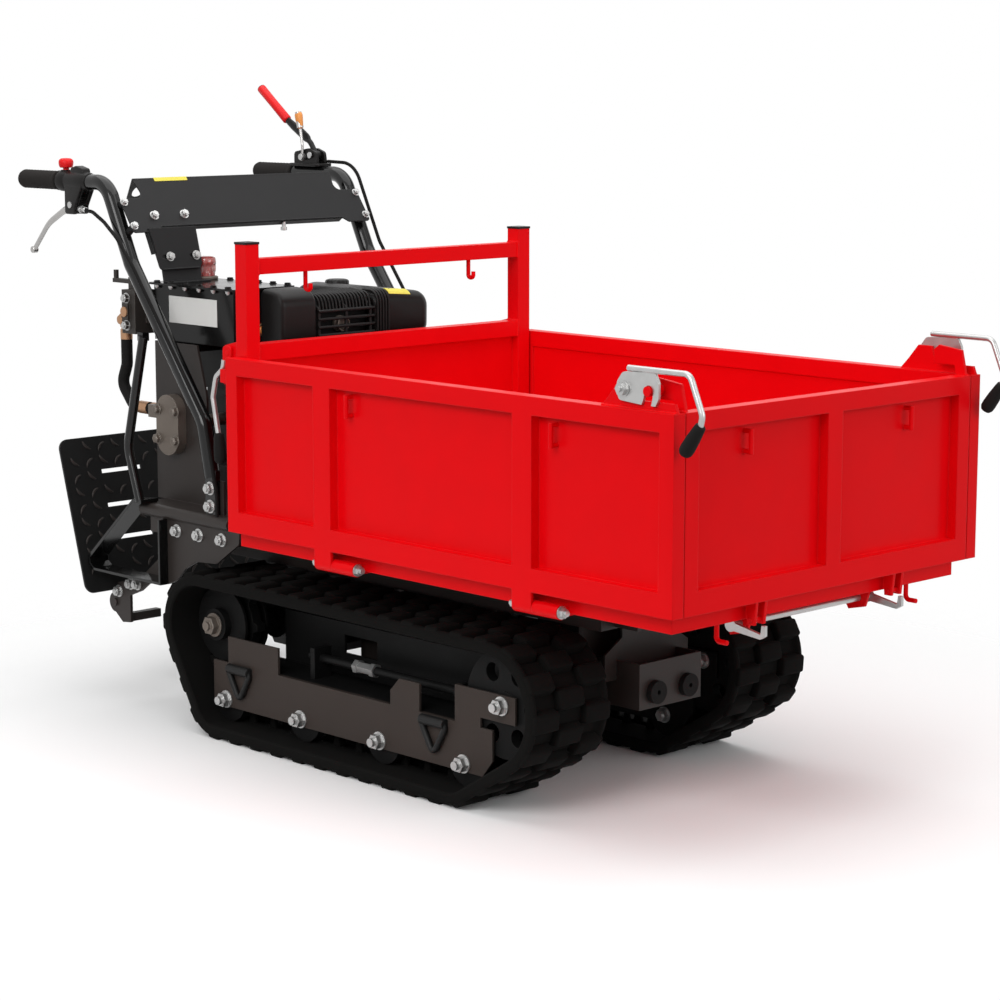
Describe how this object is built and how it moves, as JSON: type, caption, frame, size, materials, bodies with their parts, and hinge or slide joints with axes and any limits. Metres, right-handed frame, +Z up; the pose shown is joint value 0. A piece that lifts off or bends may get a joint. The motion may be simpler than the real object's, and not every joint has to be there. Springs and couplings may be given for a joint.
{
  "type": "tracked power carrier",
  "caption": "Walk-behind tracked dumper with a red drop-side tipping bed, black frame, small engine, hydraulic pump, handlebars and two rubber tracks.",
  "frame": {"origin": "on the ground under the middle of the machine's box", "axes": "+X forward towards the tailgate, +Y to the operator's left when facing forward, +Z up"},
  "size_m": [1.8819, 0.772, 1.1962],
  "materials": {
    "red_enamel": "glossy red enamel",
    "black_coat": "satin black powder coat",
    "black_rubber": "matte black rubber",
    "zinc_steel": "zinc-plated steel",
    "black_plastic": "satin black plastic",
    "grey_casting": "as-cast grey metal",
    "bright_chrome": "bright plating",
    "red_plastic": "glossy red plastic",
    "orange_plastic": "glossy orange plastic"
  },
  "bodies": {
    "chassis": {"main_frame": "black_coat", "track_frame_right": "black_coat", "track_frame_left": "black_coat", "front_bumper": "black_coat", "bumper_buffers": "black_rubber", "gearbox": "black_coat", "engine_block": "grey_casting", "recoil_cover": "black_plastic", "muffler": "black_coat", "air_cleaner": "black_plastic", "fuel_tank": "black_plastic", "hydraulic_tank": "black_coat", "tank_lid": "black_coat", "breather_cap": "bright_chrome", "gear_pump": "grey_casting", "control_valve": "grey_casting", "hydraulic_hose": "black_rubber", "handlebar_right": "black_coat", "handlebar_left": "black_coat", "console_panel": "black_coat", "handle_grips": "black_rubber", "rear_guards": "black_coat", "step_bracket": "black_coat", "track_belt_right": "black_rubber", "track_belt_left": "black_rubber", "chassis_bolts": "zinc_steel", "control_cables": "black_rubber", "lever_brackets": "black_plastic"},
    "bed": {"bed_floor": "red_enamel", "headboard": "red_enamel", "post_caps": "black_plastic", "hinge_bolts": "zinc_steel"},
    "side_right": {"side_panel_right": "red_enamel"},
    "side_left": {"side_panel_left": "red_enamel"},
    "tailgate": {"tailgate": "red_enamel"},
    "latch_front_right": {"latch_front_right": "zinc_steel"},
    "latch_front_left": {"latch_front_left": "zinc_steel"},
    "latch_rear_right": {"latch_rear_right": "zinc_steel"},
    "latch_rear_left": {"latch_rear_left": "zinc_steel"},
    "catch": {"catch_rod": "zinc_steel"},
    "cylinder_barrel": {"cylinder_barrel": "black_coat"},
    "cylinder_rod": {"cylinder_rod": "zinc_steel"},
    "step": {"step_plate": "black_coat"},
    "clutch_lever": {"clutch_lever": "zinc_steel"},
    "drive_lever": {"drive_lever": "red_plastic"},
    "throttle_lever": {"throttle_lever": "orange_plastic"},
    "stop_button": {"stop_button": "red_plastic"},
    "valve_lever": {"valve_lever": "zinc_steel"},
    "sprocket_right": {"sprocket_right": "black_coat"},
    "idler_right": {"idler_right": "black_coat"},
    "roller_1_right": {"roller_1_right": "black_coat"},
    "roller_2_right": {"roller_2_right": "black_coat"},
    "roller_3_right": {"roller_3_right": "black_coat"},
    "roller_4_right": {"roller_4_right": "black_coat"},
    "sprocket_left": {"sprocket_left": "black_coat"},
    "idler_left": {"idler_left": "black_coat"},
    "roller_1_left": {"roller_1_left": "black_coat"},
    "roller_2_left": {"roller_2_left": "black_coat"},
    "roller_3_left": {"roller_3_left": "black_coat"},
    "roller_4_left": {"roller_4_left": "black_coat"}
  },
  "joints": [
    {"name": "bed_tip", "type": "hinge", "parent": "chassis", "child": "bed", "pos_m": [0.554, 0, 0.348], "axis": [0, 1, 0], "range_deg": [0, 55]},
    {"name": "side_right_drop", "type": "hinge", "parent": "bed", "child": "side_right", "pos_m": [-0.196, -0.368, 0.385], "axis": [1, 0, 0], "range_deg": [0, 150]},
    {"name": "side_left_drop", "type": "hinge", "parent": "bed", "child": "side_left", "pos_m": [-0.196, 0.368, 0.385], "axis": [-1, 0, 0], "range_deg": [0, 150]},
    {"name": "tailgate_swing", "type": "hinge", "parent": "bed", "child": "tailgate", "pos_m": [0.829, 0, 0.754], "axis": [0, -1, 0], "range_deg": [0, 75]},
    {"name": "latch_front_right_lift", "type": "hinge", "parent": "side_right", "child": "latch_front_right", "pos_m": [0.777, -0.375, 0.754], "axis": [0, -1, 0], "range_deg": [0, 60]},
    {"name": "latch_front_left_lift", "type": "hinge", "parent": "side_left", "child": "latch_front_left", "pos_m": [0.777, 0.375, 0.754], "axis": [0, -1, 0], "range_deg": [0, 60]},
    {"name": "latch_rear_right_lift", "type": "hinge", "parent": "bed", "child": "latch_rear_right", "pos_m": [-0.226, -0.3495, 0.729], "axis": [0, 1, 0], "range_deg": [0, 60]},
    {"name": "latch_rear_left_lift", "type": "hinge", "parent": "bed", "child": "latch_rear_left", "pos_m": [-0.226, 0.3495, 0.729], "axis": [0, 1, 0], "range_deg": [0, 60]},
    {"name": "catch_turn", "type": "hinge", "parent": "bed", "child": "catch", "pos_m": [0.82, 0, 0.365], "axis": [0, 1, 0], "range_deg": [0, 44]},
    {"name": "cylinder_swing", "type": "hinge", "parent": "chassis", "child": "cylinder_barrel", "pos_m": [-0.136, 0, 0.238], "axis": [0, -1, 0], "range_deg": [0, 8.96]},
    {"name": "cylinder_stroke", "type": "slide", "parent": "cylinder_barrel", "child": "cylinder_rod", "axis": [0.9785, 0, 0.2062], "range_m": [0, 0.0804]},
    {"name": "step_fold", "type": "hinge", "parent": "chassis", "child": "step", "pos_m": [-0.701, 0, 0.193], "axis": [0, -1, 0], "range_deg": [0, 74]},
    {"name": "clutch_squeeze", "type": "hinge", "parent": "chassis", "child": "clutch_lever", "pos_m": [-0.762, -0.295, 0.971], "axis": [0, 1, 0], "range_deg": [0, 20], "stiffness_Nm_per_rad": 1.5},
    {"name": "drive_push", "type": "hinge", "parent": "chassis", "child": "drive_lever", "pos_m": [-0.748, 0.295, 1.053], "axis": [0, -1, 0], "range_deg": [0, 30]},
    {"name": "throttle_turn", "type": "hinge", "parent": "chassis", "child": "throttle_lever", "pos_m": [-0.77, 0.277, 1.049], "axis": [0, 1, 0], "range_deg": [-25, 25]},
    {"name": "valve_shift", "type": "hinge", "parent": "chassis", "child": "valve_lever", "pos_m": [-0.647, -0.24, 0.822], "axis": [0, 1, 0], "range_deg": [-20, 20]},
    {"name": "stop_press", "type": "slide", "parent": "chassis", "child": "stop_button", "axis": [0, 0, -1], "range_m": [0, 0.003], "stiffness_N_per_m": 300},
    {"name": "sprocket_right_spin", "type": "hinge", "parent": "chassis", "child": "sprocket_right", "pos_m": [-0.351, -0.25, 0.204], "axis": [0, 1, 0], "continuous": true},
    {"name": "idler_right_spin", "type": "hinge", "parent": "chassis", "child": "idler_right", "pos_m": [0.43, -0.25, 0.186], "axis": [0, 1, 0], "continuous": true},
    {"name": "roller_1_right_spin", "type": "hinge", "parent": "chassis", "child": "roller_1_right", "pos_m": [-0.311, -0.25, 0.0695], "axis": [0, 1, 0], "continuous": true},
    {"name": "roller_2_right_spin", "type": "hinge", "parent": "chassis", "child": "roller_2_right", "pos_m": [-0.095, -0.25, 0.0695], "axis": [0, 1, 0], "continuous": true},
    {"name": "roller_3_right_spin", "type": "hinge", "parent": "chassis", "child": "roller_3_right", "pos_m": [0.121, -0.25, 0.0695], "axis": [0, 1, 0], "continuous": true},
    {"name": "roller_4_right_spin", "type": "hinge", "parent": "chassis", "child": "roller_4_right", "pos_m": [0.337, -0.25, 0.0695], "axis": [0, 1, 0], "continuous": true},
    {"name": "sprocket_left_spin", "type": "hinge", "parent": "chassis", "child": "sprocket_left", "pos_m": [-0.351, 0.25, 0.204], "axis": [0, 1, 0], "continuous": true},
    {"name": "idler_left_spin", "type": "hinge", "parent": "chassis", "child": "idler_left", "pos_m": [0.43, 0.25, 0.186], "axis": [0, 1, 0], "continuous": true},
    {"name": "roller_1_left_spin", "type": "hinge", "parent": "chassis", "child": "roller_1_left", "pos_m": [-0.311, 0.25, 0.0695], "axis": [0, 1, 0], "continuous": true},
    {"name": "roller_2_left_spin", "type": "hinge", "parent": "chassis", "child": "roller_2_left", "pos_m": [-0.095, 0.25, 0.0695], "axis": [0, 1, 0], "continuous": true},
    {"name": "roller_3_left_spin", "type": "hinge", "parent": "chassis", "child": "roller_3_left", "pos_m": [0.121, 0.25, 0.0695], "axis": [0, 1, 0], "continuous": true},
    {"name": "roller_4_left_spin", "type": "hinge", "parent": "chassis", "child": "roller_4_left", "pos_m": [0.337, 0.25, 0.0695], "axis": [0, 1, 0], "continuous": true}
  ],
  "couplings": [
    {"joint": "cylinder_swing", "follows": "bed_tip", "ratio": 0.15385},
    {"joint": "cylinder_stroke", "follows": "bed_tip", "m_per_rad": 0.082745},
    {"joint": "catch_turn", "follows": "bed_tip", "ratio": 0.75},
    {"joint": "idler_right_spin", "follows": "sprocket_right_spin", "ratio": 0.84294},
    {"joint": "roller_1_right_spin", "follows": "sprocket_right_spin", "ratio": 1.8231},
    {"joint": "roller_2_right_spin", "follows": "sprocket_right_spin", "ratio": 1.8231},
    {"joint": "roller_3_right_spin", "follows": "sprocket_right_spin", "ratio": 1.8231},
    {"joint": "roller_4_right_spin", "follows": "sprocket_right_spin", "ratio": 1.8231},
    {"joint": "idler_left_spin", "follows": "sprocket_left_spin", "ratio": 0.84294},
    {"joint": "roller_1_left_spin", "follows": "sprocket_left_spin", "ratio": 1.8231},
    {"joint": "roller_2_left_spin", "follows": "sprocket_left_spin", "ratio": 1.8231},
    {"joint": "roller_3_left_spin", "follows": "sprocket_left_spin", "ratio": 1.8231},
    {"joint": "roller_4_left_spin", "follows": "sprocket_left_spin", "ratio": 1.8231}
  ]
}
